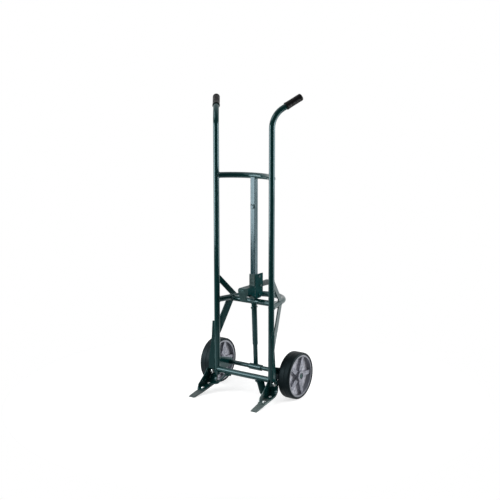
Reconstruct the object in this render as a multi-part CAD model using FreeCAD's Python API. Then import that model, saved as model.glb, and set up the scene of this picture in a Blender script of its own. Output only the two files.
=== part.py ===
"""Two-wheeled drum trolley: tubular frame, prong toes, sliding chime hook and a rear hoop.

Millimetres.  While the pieces are made, X points to the right of someone who faces the
load side, Y points back, away from the load, and Z points up from the floor.  Y is 0 in
the plane of the two rails.  Each piece is made on the right and mirrored to the left.
"""
import FreeCAD, Part
import os
from math import acos, atan2, cos, hypot, pi, radians, sin, tan

V = FreeCAD.Vector
AXIS_X = V(1, 0, 0)
AXIS_Y = V(0, 1, 0)
AXIS_Z = V(0, 0, 1)

# Clearances
WELD_GAP = 0.1
SEAT_GAP = 0.1
RUN_GAP = 0.08
SLIDE_GAP = 0.3
BOLT_GAP = 0.5

# Frame tube, shared by the rails, the crossbars and the hoop
TUBE_D = 32.0
TUBE_WALL = 2.6

# Rails and their bent handles
RAIL_SPACING = 357.6
RAIL_FOOT_Z = 84.0
HANDLE_BEND_Z = 1445.0
HANDLE_BEND_R = 118.0
HANDLE_BEND_DEG = 60.0
HANDLE_SPLAY_DEG = 36.0
HANDLE_END = 112.0

# Vinyl hand grips
GRIP_BORE = 94.0
GRIP_CAP = 5.0
GRIP_WALL = 3.2
GRIP_COLLAR = 8.0
GRIP_NECK = 16.0
GRIP_COLLAR_WALL = 4.2
GRIP_END_R = 7.0

# Crossbars
UPPER_BAR_Z = 1190.0
UPPER_BAR_BOW = 98.0
BOTTOM_BAR_Z = 113.5

# Rear hoop, which carries the load when the trolley is laid back
HOOP_Z = 508.0
HOOP_DEPTH = 272.0
HOOP_R = 138.0
CHORD_DROP = 4.0

# Flat braces between the rails and the hoop
BRACE_T = 6.0
UPPER_BRACE_RISE = 137.0
UPPER_BRACE_REACH = 137.0
UPPER_BRACE_W = 31.0
UPPER_BRACE_OUT = 9.0
LOWER_BRACE_DROP = 202.0
LOWER_BRACE_REACH = 110.0
LOWER_BRACE_W = 46.0
LOWER_BRACE_OUT = 12.5

# Square bar that the chime hook slides on, and its stop
BAR_SIDE = 30.0
BAR_WALL = 3.0
BAR_CORNER_R = 3.0
STOP_Z = 1014.0
STOP_HEIGHT = 19.0
STOP_WIDTH = 20.0
STOP_DEPTH = 8.0
STOP_CHAMFER = 1.6

# Chime hook and its sleeve
SLEEVE_WALL = 5.0
SLEEVE_DEPTH = 76.0
SLEEVE_HEIGHT = 135.0
SLEEVE_CORNER_R = 6.0
SLEEVE_CLIP = 22.0
GUIDE_PIN_D = 10.0
GUIDE_PIN_INSET = 15.0
PIN_HEAD_D = 16.0
PIN_HEAD = 3.0
HOOK_UP = 73.0
HOOK_REACH = 105.0
HOOK_WIDTH = 42.0
HOOK_T = 8.0
HOOK_BEND_R = 9.0
LIP_DROP = 76.0
LIP_LEAN = 28.0
HOOK_RIB_T = 6.0
HOOK_RIB_DROP = 32.0
HOOK_HEEL_REACH = 40.0
HOOK_HEEL_DROP = 58.0

# Cam lever that holds the hook at its height
LEVER_PIN_D = 10.0
LEVER_PIN_UP = 68.0
LEVER_PIN_BACK = 20.0
LEVER_BOSS_R = 13.0
LEVER_NOSE_R = 6.0
LEVER_NOSE_DROP = 6.0
LEVER_LENGTH = 108.0
LEVER_HEIGHT = 30.0
LEVER_T = 12.0

# Strut between the hoop and the axle
STRUT_TUBE_D = 30.0
STRUT_POST_D = 25.0
STRUT_TUBE_FOOT_Z = 259.0
STRUT_BOLT_DROP = 34.0
STRUT_BOLT_D = 10.0

# Wheels
WHEEL_D = 254.0
WHEEL_WIDTH = 70.0
WHEEL_OUT = 81.0
TYRE_T = 13.0
TYRE_SHOULDER_R = 9.0
RIM_T = 9.0
RIM_INSET = 3.0
WEB_T = 14.0
HUB_D = 58.0
HUB_LENGTH = 74.0
HUB_MOUTH_D = 33.0
HUB_MOUTH = 8.0
BUSH_WALL = 3.0
SPOKES = 5
SPOKE_ROOT = 30.0
SPOKE_TIP = 20.0
SPOKE_INSET = 7.0
SPOKE_TURN_DEG = -1.0

# Axle
AXLE_D = 25.4
AXLE_Y = 116.65
AXLE_INSET = 2.0
TEE_D = 35.0
TEE_LENGTH = 78.0
BRACKET_T = 8.0
BRACKET_TOP_Z = 188.0
BRACKET_LOW_Z = 100.0
BRACKET_EYE_R = 24.0
SPACER_WALL = 4.5
WASHER_D = 42.0
WASHER_T = 3.0
RING_T = 2.0
RING_GROOVE = 1.2
RING_OUT = 2.8

# Toes: a bent shoe on each rail, with a prong blade bolted under it
TOE_REACH = 203.0
TOE_LAND = 10.0
TOE_SLOPE_DEG = 11.0
TOE_WIDTH = 44.0
TOE_BEND_R = 38.0
SHOE_T = 5.0
SHOE_BACK = 2.0
SHOE_REACH = 125.0
SHOE_SHOULDER_Z = 124.0
SHOE_TOP_Z = 150.0
SHOE_TOP_WIDTH = 22.0
WING_SWEEP_DEG = 27.0
WING_LOW_Z = 116.0
WING_WIDE = 48.0
WING_WIDE_Z = 165.0
WING_NECK = 31.0
WING_NECK_Z = 300.0
WING_TOP = 26.0
WING_TOP_Z = 388.0
PRONG_T = 6.0
PRONG_TOP_Z = 122.0
PRONG_TIP_T = 1.5
PRONG_BEVEL = 17.0
PRONG_TIP_TAPER = 6.5
GUSSET_X = 75.0
GUSSET_WIDTH = 40.0
GUSSET_T = 6.0
GUSSET_TURN_DEG = 34.0
GUSSET_BEND_R = 14.0
GUSSET_LAP = 6.0

# Toe fasteners
HEEL_BOLT_D = 14.0
HEEL_BOLT_OUT = 27.5
HEEL_BOLT_Z = 97.0
HEEL_WASHER_D = 24.0
HEEL_WASHER_T = 3.0
TOE_BOLT_D = 10.0
TOE_BOLT_HEAD_D = 20.0
TOE_BOLT_HEAD = 5.0
TOE_BOLT_BACK = 44.0
TOE_BOLT_PITCH = 57.0
HEX_FLATS = 1.5
HEX_HEIGHT = 0.62

# Places worked out from the sizes above
TUBE_R = TUBE_D / 2
RAIL_X = RAIL_SPACING / 2
AXLE_Z = WHEEL_D / 2
WHEEL_X = RAIL_X + WHEEL_OUT
HUB_OUT_X = WHEEL_X + HUB_LENGTH / 2
HUB_IN_X = WHEEL_X - HUB_LENGTH / 2
HOOP_CENTRE_Y = HOOP_DEPTH - HOOP_R
CHORD_Z = HOOP_Z - CHORD_DROP
HOOP_LEAN = acos(HOOP_R / hypot(RAIL_X, HOOP_CENTRE_Y)) - atan2(HOOP_CENTRE_Y, RAIL_X)
BAR_Y = UPPER_BAR_BOW
BAR_FRONT_Y = BAR_Y - BAR_SIDE / 2
BAR_BACK_Y = BAR_Y + BAR_SIDE / 2
SLEEVE_FRONT_Y = BAR_FRONT_Y - SLIDE_GAP - SLEEVE_WALL
SLEEVE_FOOT_Z = CHORD_Z + TUBE_R + SLIDE_GAP
HOOK_TOP_Z = SLEEVE_FOOT_Z + HOOK_UP
SLEEVE_INSIDE_X = BAR_SIDE / 2 + SLIDE_GAP
SLEEVE_OUTSIDE_X = SLEEVE_INSIDE_X + SLEEVE_WALL
LEVER_PIN = V(0, BAR_BACK_Y + LEVER_PIN_BACK, SLEEVE_FOOT_Z + LEVER_PIN_UP)
STRUT_TOP = V(0, BAR_Y, CHORD_Z)
STRUT_FOOT = V(0, AXLE_Y, AXLE_Z)
TOE_SLOPE = radians(TOE_SLOPE_DEG)
TOE_CENTRE_Y = -SHOE_BACK - TOE_BEND_R
TOE_RISE = sin(TOE_SLOPE) * (TOE_CENTRE_Y + TOE_REACH - TOE_LAND)
TOE_CENTRE_Z = (TOE_BEND_R + PRONG_T + TOE_RISE) / cos(TOE_SLOPE)
ORIGIN_Y = (HOOP_DEPTH + TUBE_R - TOE_REACH) / 2


def save(name, shape):
    """Write one piece, with the origin on the floor under the middle of the trolley."""
    placed = shape.copy()
    placed.translate(V(0, -ORIGIN_Y, 0))
    placed.exportStep("parts/" + name + ".step")


def save_pair(name, shape):
    """Write a right-hand piece and its mirror image."""
    save("right_" + name, shape)
    save("left_" + name, shape.mirror(V(), AXIS_X))


def with_mirror(shapes):
    """Group right-hand fasteners with their mirror images."""
    return Part.makeCompound(shapes + [shape.mirror(V(), AXIS_X) for shape in shapes])


def bent_path(points, bend_r):
    """Straight runs through the points, joined by tangent arcs."""
    edges = []
    start = points[0]
    for before, corner, after in zip(points, points[1:], points[2:]):
        back = (before - corner).normalize()
        ahead = (after - corner).normalize()
        half_turn = (pi - back.getAngle(ahead)) / 2
        setback = bend_r * tan(half_turn)
        to_centre = (back + ahead).normalize()
        middle = corner + to_centre * (bend_r / cos(half_turn) - bend_r)
        arc_start = corner + back * setback
        arc_end = corner + ahead * setback
        edges.append(Part.LineSegment(start, arc_start).toShape())
        edges.append(Part.Arc(arc_start, middle, arc_end).toShape())
        start = arc_end
    edges.append(Part.LineSegment(start, points[-1]).toShape())
    return Part.Wire(edges)


def round_sweep(path, radius):
    """Round bar along a path."""
    edge = path.OrderedEdges[0]
    start = edge.valueAt(edge.FirstParameter)
    along = edge.tangentAt(edge.FirstParameter)
    ring = Part.Wire([Part.Circle(start, along, radius).toShape()])
    return path.makePipeShell([ring], True, False)


def flat_sweep(path, side, width, thickness):
    """Flat bar along a path that bends in one plane; side is square to that plane."""
    edge = path.OrderedEdges[0]
    start = edge.valueAt(edge.FirstParameter)
    up = edge.tangentAt(edge.FirstParameter).cross(side).normalize() * (thickness / 2)
    out = V(side).normalize() * (width / 2)
    corners = [start + out + up, start - out + up, start - out - up, start + out - up]
    return path.makePipeShell([Part.makePolygon(corners + corners[:1])], True, False)


def rod(start, end, radius):
    """Round bar between two points."""
    along = end - start
    return Part.makeCylinder(radius, along.Length, start, along)


def pipe(start, end, radius, bore):
    """Straight tube between two points."""
    return rod(start, end, radius).cut(rod(start, end, bore))


def plate(points, normal, thickness):
    """Flat plate of a straight-sided outline, centred on the outline's plane."""
    shift = V(normal).normalize() * thickness
    face = Part.Face(Part.makePolygon(points + points[:1]))
    face.translate(shift * -0.5)
    return face.extrude(shift)


def hexagon(centre, along, flats, height):
    """Hexagon head or nut, with two flats facing sideways."""
    radius = flats / 2 / cos(pi / 6)
    turns = [pi / 6 + k * pi / 3 for k in range(6)]
    points = [V(radius * cos(turn), radius * sin(turn), 0) for turn in turns]
    head = Part.Face(Part.makePolygon(points + points[:1])).extrude(V(0, 0, height))
    head.Placement = FreeCAD.Placement(centre, FreeCAD.Rotation(AXIS_Z, along))
    return head


def on_toe(depth, along):
    """Point of the toe's sloping foot: below the bend's centre, then forward down the slope."""
    y = TOE_CENTRE_Y + depth * sin(TOE_SLOPE) - along * cos(TOE_SLOPE)
    z = TOE_CENTRE_Z - depth * cos(TOE_SLOPE) - along * sin(TOE_SLOPE)
    return V(RAIL_X, y, z)


def on_bend(depth, turn):
    """Point of the toe's heel bend, at an angle below the level of the bend's centre."""
    y = TOE_CENTRE_Y + depth * cos(turn)
    return V(RAIL_X, y, TOE_CENTRE_Z - depth * sin(turn))


def polyline(points):
    """Straight edges through the points."""
    return [Part.LineSegment(a, b).toShape() for a, b in zip(points, points[1:])]


# Solid outlines of the round frame tubes, which their neighbours are coped to
handle_out = V(sin(radians(HANDLE_SPLAY_DEG)), cos(radians(HANDLE_SPLAY_DEG)), 0)
handle_turn = radians(HANDLE_BEND_DEG)
handle_along = handle_out * sin(handle_turn) + AXIS_Z * cos(handle_turn)
handle_setback = HANDLE_BEND_R * tan(handle_turn / 2)
rail_foot = V(RAIL_X, 0, RAIL_FOOT_Z)
rail_corner = V(RAIL_X, 0, HANDLE_BEND_Z + handle_setback)
rail_tip = rail_corner + handle_along * (handle_setback + HANDLE_END)
rail_path = bent_path([rail_foot, rail_corner, rail_tip], HANDLE_BEND_R)
rail_clear = rod(rail_foot - AXIS_Z * WELD_GAP, rail_corner, TUBE_R + WELD_GAP)
rails_clear = rail_clear.fuse(rail_clear.mirror(V(), AXIS_X))

bottom_bar_ends = [V(-RAIL_X, 0, BOTTOM_BAR_Z), V(RAIL_X, 0, BOTTOM_BAR_Z)]
bottom_bar_clear = rod(bottom_bar_ends[0], bottom_bar_ends[1], TUBE_R + WELD_GAP)

upper_ends = [V(-RAIL_X, 0, UPPER_BAR_Z), V(RAIL_X, 0, UPPER_BAR_Z)]
upper_arc = Part.Arc(upper_ends[0], V(0, UPPER_BAR_BOW, UPPER_BAR_Z), upper_ends[1])
upper_path = Part.Wire([upper_arc.toShape()])

leg_along = V(-sin(HOOP_LEAN), cos(HOOP_LEAN), 0)
leg_side = V(cos(HOOP_LEAN), sin(HOOP_LEAN), 0)
leg_start = V(RAIL_X, 0, HOOP_Z)
leg_end = V(HOOP_R * cos(HOOP_LEAN), HOOP_CENTRE_Y + HOOP_R * sin(HOOP_LEAN), HOOP_Z)
hoop_back = V(0, HOOP_DEPTH, HOOP_Z)
hoop_edges = [
    Part.LineSegment(leg_start, leg_end).toShape(),
    Part.Arc(leg_end, hoop_back, V(-leg_end.x, leg_end.y, HOOP_Z)).toShape(),
    Part.LineSegment(V(-leg_end.x, leg_end.y, HOOP_Z), V(-RAIL_X, 0, HOOP_Z)).toShape(),
]
hoop_path = Part.Wire(hoop_edges)
hoop_clear = round_sweep(hoop_path, TUBE_R + WELD_GAP)

chord_end = V(RAIL_X - BAR_Y * tan(HOOP_LEAN), BAR_Y, CHORD_Z)
chord_start = V(-chord_end.x, BAR_Y, CHORD_Z)
chord_clear = rod(chord_start, chord_end, TUBE_R + WELD_GAP)


def frame_tube(path):
    """Hollow frame tube along a path."""
    return round_sweep(path, TUBE_R).cut(round_sweep(path, TUBE_R - TUBE_WALL))


def make_rail():
    return frame_tube(rail_path)


def make_grip():
    """Moulded vinyl sleeve with a thick mouth and a rounded, closed end."""
    bore = TUBE_R + SEAT_GAP
    side = bore + GRIP_WALL
    collar = bore + GRIP_COLLAR_WALL
    end = GRIP_BORE + GRIP_CAP
    corner = GRIP_END_R * (1 - cos(pi / 4))
    outline = polyline([V(0, 0, end), V(0, 0, GRIP_BORE), V(bore, 0, GRIP_BORE), V(bore, 0, 0)])
    outline += polyline([V(bore, 0, 0), V(collar, 0, 0), V(collar, 0, GRIP_COLLAR), V(side, 0, GRIP_NECK)])
    round_start = V(side, 0, end - GRIP_END_R)
    round_end = V(side - GRIP_END_R, 0, end)
    outline += polyline([V(side, 0, GRIP_NECK), round_start])
    outline.append(Part.Arc(round_start, V(side - corner, 0, end - corner), round_end).toShape())
    outline += polyline([round_end, V(0, 0, end)])
    grip = Part.Face(Part.Wire(outline)).revolve(V(), AXIS_Z, 360)
    mouth = rail_tip + handle_along * (SEAT_GAP - GRIP_BORE)
    grip.Placement = FreeCAD.Placement(mouth, FreeCAD.Rotation(AXIS_Z, handle_along))
    return grip


def make_upper_crossbar():
    return frame_tube(upper_path).cut(rails_clear)


def make_bottom_crossbar():
    return pipe(bottom_bar_ends[0], bottom_bar_ends[1], TUBE_R, TUBE_R - TUBE_WALL).cut(rails_clear)


def make_rear_hoop():
    return frame_tube(hoop_path).cut(rails_clear)


def make_hoop_crossbar():
    return pipe(chord_start, chord_end, TUBE_R, TUBE_R - TUBE_WALL).cut(hoop_clear)


def make_brace(rise, reach, width, out):
    """Flat bar on edge beside the hoop's leg, coped to the rail and to the leg."""
    slope = -rise / reach
    rail_z = HOOP_Z + rise
    half_high = width / 2 * hypot(slope, 1)
    sides = [rail_z - half_high, rail_z + half_high]
    outline = [(0, sides[0]), ((HOOP_Z - sides[0]) / slope, HOOP_Z)]
    outline += [((HOOP_Z - sides[1]) / slope, HOOP_Z), (0, sides[1])]
    beside = V(RAIL_X, 0, 0) + leg_side * out
    bar = plate([beside + leg_along * along + AXIS_Z * z for along, z in outline], leg_side, BRACE_T)
    return bar.cut(rails_clear).cut(hoop_clear)


def make_upper_brace():
    return make_brace(UPPER_BRACE_RISE, UPPER_BRACE_REACH, UPPER_BRACE_W, UPPER_BRACE_OUT)


def make_lower_brace():
    return make_brace(-LOWER_BRACE_DROP, LOWER_BRACE_REACH, LOWER_BRACE_W, LOWER_BRACE_OUT)


def rounded_square(half, corner_r, z):
    """Square outline with rounded corners, round the slide bar's axis."""
    inner = half - corner_r
    edges = []
    for k in range(4):
        turn = FreeCAD.Rotation(AXIS_Z, 90 * k)
        centre = V(0, BAR_Y, z)
        at_45 = inner + corner_r * cos(pi / 4)
        side = [V(half, -inner, 0), V(half, inner, 0)]
        corner = [V(half, inner, 0), V(at_45, at_45, 0), V(inner, half, 0)]
        edges += polyline([centre + turn.multVec(point) for point in side])
        edges.append(Part.Arc(*[centre + turn.multVec(point) for point in corner]).toShape())
    return Part.Face(Part.Wire(edges))


def make_slide_bar():
    rise = V(0, 0, UPPER_BAR_Z - CHORD_Z)
    outside = rounded_square(BAR_SIDE / 2, BAR_CORNER_R, CHORD_Z).extrude(rise)
    inside = rounded_square(BAR_SIDE / 2 - BAR_WALL, BAR_CORNER_R / 2, CHORD_Z).extrude(rise)
    bar = outside.cut(inside).cut(chord_clear)
    return bar.cut(round_sweep(upper_path, TUBE_R + WELD_GAP))


def make_slide_stop():
    corner = V(-STOP_WIDTH / 2, BAR_FRONT_Y - STOP_DEPTH, STOP_Z)
    stop = Part.makeBox(STOP_WIDTH, STOP_DEPTH, STOP_HEIGHT, corner)
    front = [edge for edge in stop.Edges if edge.BoundBox.YMax < BAR_FRONT_Y - STOP_DEPTH / 2]
    return stop.makeChamfer(STOP_CHAMFER, front)


def make_hook_sleeve():
    """Channel folded round the front and sides of the bar, open and clipped at the back."""
    corner = V(-SLEEVE_OUTSIDE_X, SLEEVE_FRONT_Y, SLEEVE_FOOT_Z)
    outside = Part.makeBox(2 * SLEEVE_OUTSIDE_X, SLEEVE_DEPTH, SLEEVE_HEIGHT, corner)
    upright = [edge for edge in outside.Edges if edge.BoundBox.ZLength > SLEEVE_HEIGHT / 2]
    folds = [edge for edge in upright if edge.BoundBox.YMax < BAR_FRONT_Y]
    outside = outside.makeFillet(SLEEVE_CORNER_R, folds)
    rear = V(0, SLEEVE_FRONT_Y + SLEEVE_DEPTH, SLEEVE_FOOT_Z)
    clip = [rear, rear - AXIS_Y * SLEEVE_CLIP, rear + AXIS_Z * SLEEVE_CLIP]
    outside = outside.cut(plate(clip, AXIS_X, 2 * SLEEVE_OUTSIDE_X))
    inside_corner = V(-SLEEVE_INSIDE_X, BAR_FRONT_Y - SLIDE_GAP, SLEEVE_FOOT_Z)
    sleeve = outside.cut(Part.makeBox(2 * SLEEVE_INSIDE_X, SLEEVE_DEPTH, SLEEVE_HEIGHT, inside_corner))
    for centre, diameter in guide_pin_places() + [(LEVER_PIN, LEVER_PIN_D)]:
        across = AXIS_X * SLEEVE_OUTSIDE_X
        sleeve = sleeve.cut(rod(centre - across, centre + across, diameter / 2 + SEAT_GAP))
    return sleeve


def guide_pin_places():
    """Centres of the pins that keep the sleeve on the bar, near its two ends."""
    y = BAR_BACK_Y + SLIDE_GAP + GUIDE_PIN_D / 2
    heights = [SLEEVE_FOOT_Z + GUIDE_PIN_INSET, SLEEVE_FOOT_Z + SLEEVE_HEIGHT - GUIDE_PIN_INSET]
    return [(V(0, y, z), GUIDE_PIN_D) for z in heights]


def headed_pin(centre, diameter):
    """Pin through both cheeks of the sleeve, with a riveted head at each end."""
    half = AXIS_X * SLEEVE_OUTSIDE_X
    pin = rod(centre - half, centre + half, diameter / 2)
    for side in (-1, 1):
        seat = centre + half * side
        pin = pin.fuse(rod(seat, seat + AXIS_X * side * PIN_HEAD, PIN_HEAD_D / 2))
    return pin.removeSplitter()


def make_chime_hook():
    """Bent steel claw that drops over the drum's rim, with two cheeks back to the sleeve."""
    middle_z = HOOK_TOP_Z - HOOK_T / 2
    lip_top = V(0, SLEEVE_FRONT_Y - HOOK_REACH + HOOK_T / 2, middle_z)
    lip_foot = V(0, lip_top.y + LIP_LEAN, HOOK_TOP_Z - LIP_DROP)
    path = bent_path([V(0, SLEEVE_FRONT_Y, middle_z), lip_top, lip_foot], HOOK_BEND_R)
    hook = flat_sweep(path, AXIS_X, HOOK_WIDTH, HOOK_T)
    under_z = HOOK_TOP_Z - HOOK_T
    cheek_z = under_z - HOOK_RIB_DROP
    cheek_front = lip_top + (lip_foot - lip_top) * ((middle_z - cheek_z) / (middle_z - lip_foot.z))
    outline = [V(0, SLEEVE_FRONT_Y, under_z), V(0, lip_top.y, under_z), cheek_front]
    heel_y = SLEEVE_FRONT_Y - HOOK_HEEL_REACH
    outline += [V(0, heel_y, cheek_z), V(0, SLEEVE_FRONT_Y, under_z - HOOK_HEEL_DROP)]
    for side in (-1, 1):
        cheek = plate(outline, AXIS_X, HOOK_RIB_T)
        cheek.translate(AXIS_X * side * ((HOOK_WIDTH - HOOK_RIB_T) / 2))
        hook = hook.fuse(cheek)
    return hook.removeSplitter()


def make_lock_lever():
    """Cam lever: its nose closes on the back of the bar when the long end drops."""
    nose_y = BAR_BACK_Y + SLIDE_GAP + LEVER_NOSE_R
    nose = V(0, nose_y, LEVER_PIN.z - LEVER_NOSE_DROP)
    across = AXIS_X * (LEVER_T / 2)
    tail = LEVER_PIN + AXIS_Y * (LEVER_LENGTH - LEVER_HEIGHT / 2)
    half_high = AXIS_Z * (LEVER_HEIGHT / 2)
    boss_high = AXIS_Z * LEVER_BOSS_R
    nose_high = AXIS_Z * LEVER_NOSE_R
    boss_sides = [LEVER_PIN - boss_high, LEVER_PIN + boss_high]
    arm = plate(boss_sides + [tail + half_high, tail - half_high], AXIS_X, LEVER_T)
    arm = arm.fuse(rod(tail - across, tail + across, LEVER_HEIGHT / 2))
    jaw = plate(boss_sides + [nose + nose_high, nose - nose_high], AXIS_X, LEVER_T)
    arm = arm.fuse(jaw).fuse(rod(nose - across, nose + across, LEVER_NOSE_R))
    half_boss = AXIS_X * (SLEEVE_INSIDE_X - SLIDE_GAP)
    arm = arm.fuse(rod(LEVER_PIN - half_boss, LEVER_PIN + half_boss, LEVER_BOSS_R))
    arm = arm.cut(rod(LEVER_PIN - half_boss, LEVER_PIN + half_boss, LEVER_PIN_D / 2 + RUN_GAP))
    return arm.removeSplitter()


strut_along = (STRUT_FOOT - STRUT_TOP).normalize()
strut_bolt_at = STRUT_TOP + strut_along * (STRUT_BOLT_DROP / abs(strut_along.z))
strut_bolt_seat = (STRUT_TUBE_D / 2 + STRUT_BOLT_D * abs(strut_along.y)) / abs(strut_along.z) + SEAT_GAP
strut_tube_foot = STRUT_TOP + strut_along * ((CHORD_Z - STRUT_TUBE_FOOT_Z) / abs(strut_along.z))
strut_bolt_hole = rod(strut_bolt_at - AXIS_Y * STRUT_TUBE_D, strut_bolt_at + AXIS_Y * STRUT_TUBE_D,
                      STRUT_BOLT_D / 2 + SEAT_GAP)


def make_strut_tube():
    bore = STRUT_POST_D / 2 + SLIDE_GAP
    tube = pipe(STRUT_TOP, strut_tube_foot, STRUT_TUBE_D / 2, bore)
    return tube.cut(chord_clear).cut(strut_bolt_hole)


def make_strut_post():
    post = rod(STRUT_TOP, STRUT_FOOT, STRUT_POST_D / 2).cut(chord_clear).cut(strut_bolt_hole)
    half = AXIS_X * TEE_LENGTH
    return post.cut(rod(STRUT_FOOT - half, STRUT_FOOT + half, TEE_D / 2 + WELD_GAP))


def make_strut_bolt():
    head = STRUT_BOLT_D * HEX_HEIGHT
    front = strut_bolt_at - AXIS_Y * strut_bolt_seat
    back = strut_bolt_at + AXIS_Y * (STRUT_TUBE_D / 2 + STRUT_BOLT_D)
    bolt = rod(front, back, STRUT_BOLT_D / 2)
    return bolt.fuse(hexagon(front, AXIS_Y * -1, STRUT_BOLT_D * HEX_FLATS, head)).removeSplitter()


def make_strut_nut():
    seat = strut_bolt_at + AXIS_Y * strut_bolt_seat
    nut = hexagon(seat, AXIS_Y, STRUT_BOLT_D * HEX_FLATS, STRUT_BOLT_D * HEX_HEIGHT)
    return nut.cut(rod(strut_bolt_at, seat + AXIS_Y * STRUT_BOLT_D, STRUT_BOLT_D / 2 + SEAT_GAP))


def on_axle(x):
    return V(x, AXLE_Y, AXLE_Z)


RING_X = HUB_OUT_X - HUB_MOUTH + SLIDE_GAP


def make_axle():
    end_x = HUB_OUT_X - AXLE_INSET
    axle = rod(on_axle(-end_x), on_axle(end_x), AXLE_D / 2)
    groove_end = RING_X + RING_T + SEAT_GAP
    for side in (-1, 1):
        ends = [on_axle(side * (RING_X - SEAT_GAP)), on_axle(side * groove_end)]
        axle = axle.cut(pipe(ends[0], ends[1], AXLE_D, AXLE_D / 2 - RING_GROOVE))
    return axle


def make_axle_tee():
    ends = [on_axle(-TEE_LENGTH / 2), on_axle(TEE_LENGTH / 2)]
    return pipe(ends[0], ends[1], TEE_D / 2, AXLE_D / 2 + SEAT_GAP)


def tangent_turn(point, side):
    """Angle, round the axle, where a line from a point in the rail's plane grazes the eye."""
    across = V(0, point.y - AXLE_Y, point.z - AXLE_Z)
    return atan2(across.z, across.y) - side * acos(BRACKET_EYE_R / across.Length)


def make_axle_bracket():
    """Upright plate behind the rail, narrowing to a round eye on the axle."""
    top = V(RAIL_X, 0, BRACKET_TOP_Z)
    low = V(RAIL_X, 0, BRACKET_LOW_Z)
    turns = [tangent_turn(top, 1), 0, tangent_turn(low, -1)]
    eye = [V(RAIL_X, AXLE_Y + BRACKET_EYE_R * cos(t), AXLE_Z + BRACKET_EYE_R * sin(t)) for t in turns]
    edges = polyline([low, top, eye[0]]) + [Part.Arc(*eye).toShape()] + polyline([eye[2], low])
    face = Part.Face(Part.Wire(edges))
    face.translate(V(-BRACKET_T / 2, 0, 0))
    bracket = face.extrude(V(BRACKET_T, 0, 0)).cut(rails_clear).cut(bottom_bar_clear)
    return bracket.cut(rod(on_axle(RAIL_X - BRACKET_T), on_axle(RAIL_X + BRACKET_T), AXLE_D / 2 + SEAT_GAP))


WASHER_X = HUB_IN_X - SLIDE_GAP - WASHER_T


def make_axle_spacer():
    bore = AXLE_D / 2 + SEAT_GAP
    return pipe(on_axle(RAIL_X + BRACKET_T / 2), on_axle(WASHER_X), bore + SPACER_WALL, bore)


def make_axle_washer():
    return pipe(on_axle(WASHER_X), on_axle(WASHER_X + WASHER_T), WASHER_D / 2, AXLE_D / 2 + SEAT_GAP)


def make_retaining_ring():
    bore = AXLE_D / 2 - RING_GROOVE + SEAT_GAP
    return pipe(on_axle(RING_X), on_axle(RING_X + RING_T), AXLE_D / 2 + RING_OUT, bore)


def turned(points):
    """Ring turned round the axle from an outline of (distance from wheel's middle, radius)."""
    outline = [V(WHEEL_X + x, AXLE_Y, AXLE_Z + radius) for x, radius in points]
    return Part.Face(Part.makePolygon(outline + outline[:1])).revolve(on_axle(0), AXIS_X, 360)


RIM_R = WHEEL_D / 2 - TYRE_T
BUSH_R = AXLE_D / 2 + RUN_GAP + BUSH_WALL


def make_tyre():
    """Solid rubber tread moulded on the rim, with rounded shoulders."""
    half = WHEEL_WIDTH / 2
    inside = RIM_R + SEAT_GAP
    tread = turned([(-half, inside), (-half, WHEEL_D / 2), (half, WHEEL_D / 2), (half, inside)])
    shoulders = [edge for edge in tread.Edges if edge.BoundBox.ZLength > WHEEL_D - 1]
    return tread.makeFillet(TYRE_SHOULDER_R, shoulders)


def make_wheel_centre():
    """Cast wheel: rim, recessed web with raised spokes on both faces, and a long hub."""
    rim_half = WHEEL_WIDTH / 2 - RIM_INSET
    web_half = WEB_T / 2
    hub_half = HUB_LENGTH / 2
    bore = BUSH_R + SEAT_GAP
    rim_bore = RIM_R - RIM_T
    right = [(hub_half, bore), (hub_half, HUB_D / 2), (web_half, HUB_D / 2), (web_half, rim_bore)]
    right += [(rim_half, rim_bore), (rim_half, RIM_R)]
    left = [(-x, radius) for x, radius in reversed(right)]
    wheel = turned(right + left)
    spoke_half = rim_half - SPOKE_INSET
    for k in range(SPOKES):
        outline = [V(0, HUB_D / 2 - WEB_T, SPOKE_ROOT / 2), V(0, rim_bore + RIM_T / 2, SPOKE_TIP / 2)]
        outline += [V(0, rim_bore + RIM_T / 2, -SPOKE_TIP / 2), V(0, HUB_D / 2 - WEB_T, -SPOKE_ROOT / 2)]
        spoke = plate(outline, AXIS_X, 2 * spoke_half)
        spoke.rotate(V(), AXIS_X, SPOKE_TURN_DEG + 360 * k / SPOKES)
        spoke.translate(on_axle(WHEEL_X))
        wheel = wheel.fuse(spoke)
    wheel = wheel.cut(rod(on_axle(HUB_IN_X), on_axle(HUB_OUT_X), bore))
    mouth = rod(on_axle(HUB_OUT_X - HUB_MOUTH), on_axle(HUB_OUT_X), HUB_MOUTH_D / 2)
    return wheel.cut(mouth).removeSplitter()


def make_wheel_bush():
    return pipe(on_axle(HUB_IN_X), on_axle(HUB_OUT_X - HUB_MOUTH), BUSH_R, AXLE_D / 2 + RUN_GAP)


heel_turn = pi / 2 - TOE_SLOPE
heel_bolt_at = V(RAIL_X + HEEL_BOLT_OUT, -SHOE_BACK, HEEL_BOLT_Z)
heel_bolt_hole = rod(heel_bolt_at - AXIS_Y * TOE_WIDTH, heel_bolt_at + AXIS_Y * TOE_WIDTH,
                     (HEEL_BOLT_D + BOLT_GAP) / 2)
toe_up = V(0, -sin(TOE_SLOPE), cos(TOE_SLOPE))


def toe_bolt_places():
    """Points on the joint between shoe and prong, in the middle of the foot's width."""
    middle = AXIS_X * ((TOE_WIDTH + GUSSET_LAP) / 2)
    first = (TOE_CENTRE_Y + TOE_BEND_R * sin(TOE_SLOPE) + TOE_BOLT_BACK) / cos(TOE_SLOPE)
    return [on_toe(TOE_BEND_R, first + step) + middle for step in (0, TOE_BOLT_PITCH)]


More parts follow.
